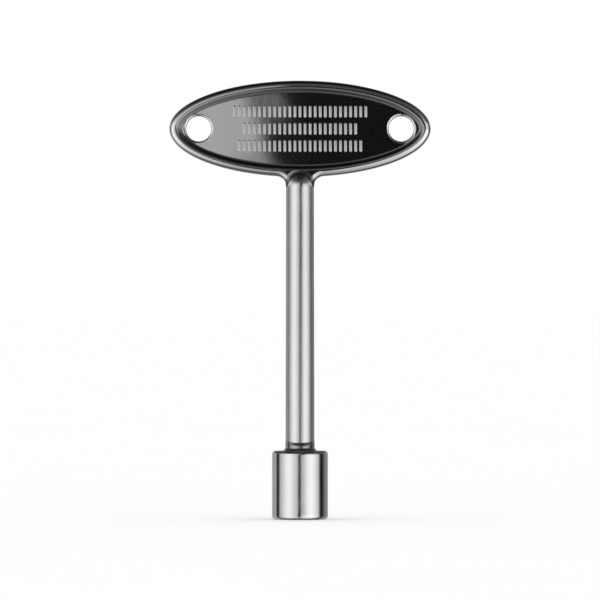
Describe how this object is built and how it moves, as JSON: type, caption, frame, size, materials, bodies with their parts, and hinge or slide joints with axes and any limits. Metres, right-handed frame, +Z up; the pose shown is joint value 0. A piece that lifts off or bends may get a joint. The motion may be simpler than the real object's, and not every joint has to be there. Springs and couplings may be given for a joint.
{
  "type": "gas valve key",
  "caption": "Chromed T-handled key: oval rimmed handle with end holes, round shank, and a barrel socket with a stepped square drive for valve stems.",
  "frame": {"origin": "centre of the socket's mouth, on the surface that the key stands on", "axes": "+Z up the shank towards the handle; the handle's plate lies in the XZ plane; its marked face looks along -Y"},
  "size_m": [0.0594, 0.0126, 0.0997],
  "materials": {
    "handle_chrome": "bright chrome plate over a polished zinc casting",
    "shank_chrome": "bright chrome plate over a polished steel bar",
    "socket_chrome": "bright chrome plate outside, thin duller plate inside the drive",
    "fillet_chrome": "bright chrome plate over braze metal"
  },
  "bodies": {
    "root": {"handle": "handle_chrome", "shank": "shank_chrome", "socket": "socket_chrome", "braze_fillet": "fillet_chrome"}
  },
  "joints": []
}
